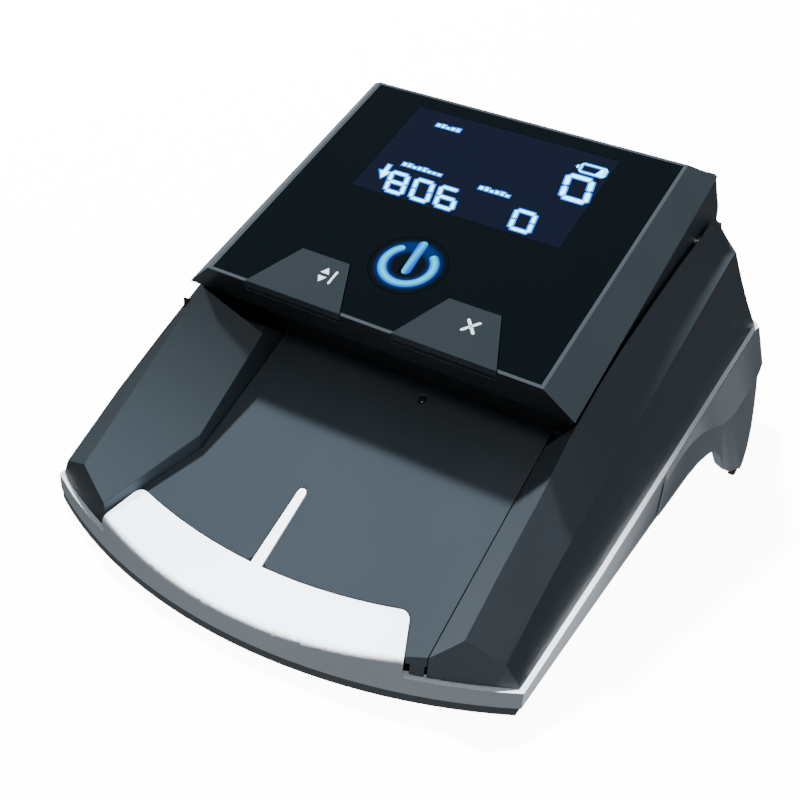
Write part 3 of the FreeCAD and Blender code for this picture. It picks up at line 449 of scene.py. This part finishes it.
def moulded_stroke(name, path, material):
    """Rounded raised stroke of the power symbol along (x, v) points, with rounded ends."""
    shape = bmesh.new()
    around, inner = 12, 40
    # how far from the tip, in half widths, and the share of the full section there
    ends = [(0.0, 0.06), (0.12, 0.50), (0.35, 0.80), (0.7, 0.97)]
    lengths = [0.0]
    for a, b in zip(path, path[1:]):
        lengths.append(lengths[-1] + math.hypot(b[0] - a[0], b[1] - a[1]))
    total = lengths[-1]

    def at(distance):
        """Point and direction of the path at a distance from its start."""
        i = 0
        while distance > lengths[i + 1] and i < len(path) - 2:
            i += 1
        f = (distance - lengths[i]) / (lengths[i + 1] - lengths[i])
        (ax, ay), (bx, by) = path[i], path[i + 1]
        step = math.hypot(bx - ax, by - ay)
        return (ax + (bx - ax) * f, ay + (by - ay) * f), ((bx - ax) / step, (by - ay) / step)

    stations = [(STROKE_HALF * d, scale) for d, scale in ends]
    for i in range(inner + 1):
        stations.append((STROKE_HALF + (total - 2 * STROKE_HALF) * i / inner, 1.0))
    stations += [(total - STROKE_HALF * d, scale) for d, scale in reversed(ends)]
    rings = []
    for distance, scale in stations:
        (x, v), (tx, tv) = at(distance)
        ring = []
        for k in range(around + 1):
            turn = math.pi * k / around
            side = STROKE_HALF * scale * math.cos(turn)
            lift = STROKE_RISE * scale * math.sin(turn) ** 0.7
            ring.append(shape.verts.new(((x - tv * side) * MM, (v + tx * side) * MM,
                                         (STROKE_FLOOR + lift) * MM)))
        rings.append(ring)
    for first, second in zip(rings, rings[1:]):
        for k in range(around):
            shape.faces.new((first[k], first[k + 1], second[k + 1], second[k]))
        shape.faces.new((first[around], first[0], second[0], second[around]))
    shape.faces.new(rings[0])
    shape.faces.new(rings[-1])
    bmesh.ops.recalc_face_normals(shape, faces=shape.faces)
    for face in shape.faces:
        face.smooth = True
    made = object_of(name, shape, material)
    made.matrix_world = PANEL
    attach(made, "power_key")
    return made


def build_power_symbol():
    """Lit ring, open at the top, and the bar in its opening."""
    centre = tuple(c * MM for c in POWER_CENTRE)
    ring_glow = glowing("power_ring_glow", (0.0, 1.0, 0.90), (0.0, 0.07, 0.80), 1.5,
                        "ring", centre, RING_RADIUS * MM, 1.05 * MM)
    bar_glow = glowing("power_bar_glow", (0.0, 0.78, 0.92), (0.0, 0.08, 0.80), 1.4,
                       "bar", centre, 0.0, 1.0 * MM)
    start, stop = math.radians(RING_OPENING), math.radians(360 - RING_OPENING)
    steps = 48
    path = [arc_point(start + (stop - start) * i / steps) for i in range(steps + 1)]
    ring = moulded_stroke("power_ring", path, ring_glow)
    moulded_stroke("power_bar", [(POWER_CENTRE[0] + 0.6, POWER_CENTRE[1] - 3.0),
                                 (POWER_CENTRE[0] - 0.3, POWER_CENTRE[1] + 8.8)], bar_glow)
    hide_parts("power_symbol")


def halo_on_cap():
    """Blue light from the ring spills over the gloss cap of the power key."""
    material = GLOSS.copy()
    material.name = "power_cap_gloss"
    tree = material.node_tree
    to_centre = tree.nodes.new("ShaderNodeVectorMath")
    to_centre.operation = "DISTANCE"
    centre = PANEL @ Vector((POWER_CENTRE[0] * MM, POWER_CENTRE[1] * MM, 0))
    to_centre.inputs[1].default_value = centre
    tree.links.new(coordinates(tree).outputs["Object"], to_centre.inputs[0])
    fade = node(tree, "ShaderNodeMapRange", From_Min=CAP_LIGHT_FROM * MM,
                From_Max=CAP_LIGHT_TO * MM, To_Min=1.0, To_Max=0.0)
    fade.interpolation_type = "SMOOTHSTEP"
    tree.links.new(off_middle(tree, to_centre.outputs["Value"], RING_RADIUS * MM),
                   fade.inputs["Value"])
    emit(tree, fade.outputs["Result"], (0, 0, 0), (0.0, 0.030, 0.21), 1.0)
    paint("power_key", material)


def key_icons():
    """Printed generic signs on the two keys: two triangles with a bar, and a cancel cross."""
    key_top = 0.25
    low, high = key_top - 0.004, key_top + 0.02
    arrows = [[(-18.6, 9.2), (-16.2, 9.2), (-17.4, 11.2)],
              [(-18.6, 8.2), (-17.4, 6.2), (-16.2, 8.2)],
              stroke((-14.8, 6.4), (-14.8, 11.0), 0.6)]
    cross = [stroke((20.6, 6.6), (24.0, 10.6), 0.75), stroke((20.6, 10.6), (24.0, 6.6), 0.75)]
    panel_piece("left_key_print", arrows, low, high, PRINT, "left_key")
    panel_piece("right_key_print", cross, low, high, PRINT, "right_key")


build_display()
build_power_symbol()
halo_on_cap()
key_icons()


# ---------------------------------------------------------------- studio
FLOOR_SIZE, BACKDROP_RADIUS = 8.0, 6.0


def white_stage(name, build):
    """White part of the studio that the camera sees, and that neither lights the object nor
    mirrors in it."""
    shape = bmesh.new()
    build(shape)
    white = surface(name + "_white", (0.93, 0.93, 0.93), 0.8, bump=0.0, mottle=0.0, specular=0.2)
    shader = white.node_tree.nodes["Principled BSDF"]
    shader.inputs["Emission Color"].default_value = (1, 1, 1, 1)
    shader.inputs["Emission Strength"].default_value = 11.0
    white.cycles.emission_sampling = "NONE"
    made = object_of(name, shape, white)
    made.visible_diffuse = False
    made.visible_glossy = False
    made.visible_shadow = False


def floor():
    white_stage("floor", lambda shape: bmesh.ops.create_grid(
        shape, x_segments=1, y_segments=1, size=FLOOR_SIZE))
    white_stage("backdrop", lambda shape: bmesh.ops.create_uvsphere(
        shape, u_segments=48, v_segments=24, radius=BACKDROP_RADIUS))


def hang_light(data, at, target, power, color, mirrored=True, only_on=""):
    """Places a lamp; only_on limits it to some CAD nodes, as a flag on a studio stand would."""
    data.energy = power
    data.color = color
    light = bpy.data.objects.new(data.name, data)
    bpy.context.scene.collection.objects.link(light)
    light.location = at
    light.rotation_euler = (target - at).to_track_quat("-Z", "Y").to_euler()
    light.visible_glossy = mirrored
    if only_on:
        receivers = bpy.data.collections.new(data.name + "_receivers")
        for name in only_on.split():
            receivers.objects.link(NODES[name])
        light.light_linking.receiver_collection = receivers


def softbox(name, size):
    data = bpy.data.lights.new(name, "AREA")
    data.shape = "RECTANGLE"
    data.size, data.size_y = size
    return data


def spot(name, angle, blend, radius):
    data = bpy.data.lights.new(name, "SPOT")
    data.spot_size = math.radians(angle)
    data.spot_blend = blend
    data.shadow_soft_size = radius
    return data


def sky():
    """Dim room, lighter to the front and below, so that upright silver faces read as mid grey."""
    world = bpy.data.worlds.new("studio")
    world.use_nodes = True
    tree = world.node_tree
    back = tree.nodes["Background"]
    place = tree.nodes.new("ShaderNodeTexCoord")
    toward = tree.nodes.new("ShaderNodeVectorMath")
    toward.operation = "DOT_PRODUCT"
    toward.inputs[1].default_value = (0.05, -0.80, -0.60)
    tree.links.new(place.outputs["Generated"], toward.inputs[0])
    ramp = node(tree, "ShaderNodeMapRange", From_Min=-0.1, From_Max=1.0, To_Min=0.12, To_Max=0.80)
    ramp.interpolation_type = "SMOOTHSTEP"
    tree.links.new(toward.outputs["Value"], ramp.inputs["Value"])
    tree.links.new(ramp.outputs["Result"], back.inputs["Strength"])
    back.inputs["Color"].default_value = (0.84, 0.93, 1.0, 1)
    bpy.context.scene.world = world


def studio():
    """Dim sky, four softboxes round the object and a narrow spot on the pale band."""
    sky()
    middle = Vector((0, -0.020, 0.030))
    band_middle = Vector((-0.002, -0.072, 0.012))
    toward_key = Vector((-0.45, 0.275, 0.85)).normalized()
    toward_left = Vector((-0.9, 0.42, 0.22)).normalized()
    toward_right = Vector((0.85, -0.2, 0.5)).normalized()
    toward_front = Vector((0.16, -0.45, 0.88)).normalized()
    over_band = Vector((0.35, 0.40, 0.85)).normalized()
    hang_light(softbox("key_lamp", (0.13, 0.13)), middle + 2.0 * toward_key, middle, 200,
               (0.95, 0.98, 1.0), mirrored=False)
    hang_light(softbox("left_softbox", (0.8, 0.5)), middle + toward_left, middle, 2.5,
               (0.92, 0.97, 1.0))
    hang_light(softbox("right_softbox", (0.8, 0.6)), middle + toward_right, middle, 3.5,
               (0.90, 0.97, 1.0), mirrored=False,
               only_on="right_cover left_cover rear_cover head_housing")
    hang_light(softbox("front_softbox", (0.35, 0.35)), middle + 1.1 * toward_front, middle, 5.5,
               (0.92, 0.97, 1.0))
    hang_light(spot("band_spot", 4.7, 0.6, 0.03), band_middle + 2.0 * over_band, band_middle,
               2200, (0.97, 0.99, 1.0), mirrored=False, only_on="base_housing right_leg left_leg")


floor()
studio()
